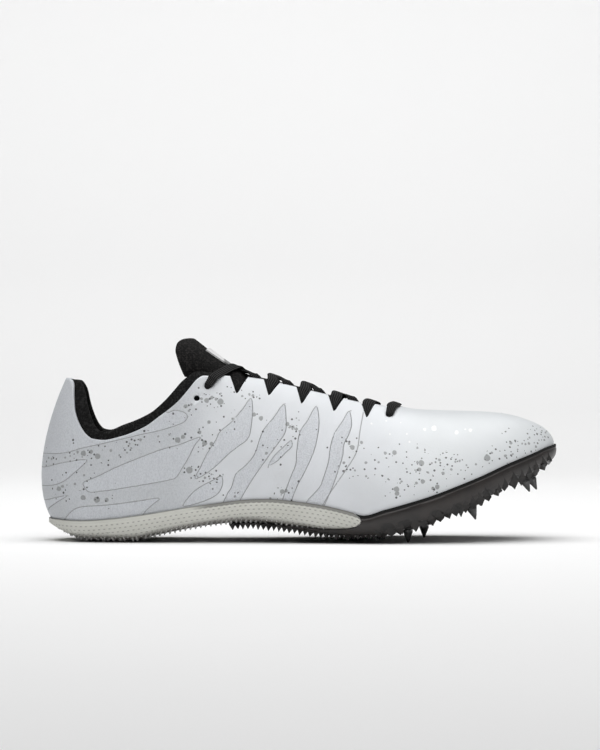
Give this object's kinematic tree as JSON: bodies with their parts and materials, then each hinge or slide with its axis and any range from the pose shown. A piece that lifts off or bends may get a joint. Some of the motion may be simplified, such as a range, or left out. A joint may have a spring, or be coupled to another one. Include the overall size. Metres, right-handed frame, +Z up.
{
  "type": "track spike shoe",
  "caption": "Low sprint shoe with a thin pale upper, dark padded collar and tongue, flat lace, pale heel wedge and a stiff toothed plate with removable pins.",
  "frame": {"origin": "middle of the flat spot under the heel, on the floor", "axes": "+X towards the toe, +Y towards the inner side of the foot, +Z up"},
  "size_m": [0.281, 0.0902, 0.1093],
  "materials": {
    "upper": "smooth synthetic, satin",
    "wedge": "matte",
    "plate": "satin",
    "lining": "knit",
    "tongue": "mesh",
    "label": "smooth",
    "insole": "brushed",
    "lace": "ribbed",
    "spike": "dull"
  },
  "bodies": {
    "root": {"upper": "upper", "heel_wedge": "wedge", "spike_plate": "plate", "collar_lining": "lining", "tongue": "tongue", "tongue_label": "label", "insole": "insole", "lace": "lace", "spike_rear_outer": "spike", "spike_rear_inner": "spike", "spike_middle_outer": "spike", "spike_middle_inner": "spike", "spike_front_outer": "spike", "spike_front_inner": "spike"}
  },
  "joints": []
}
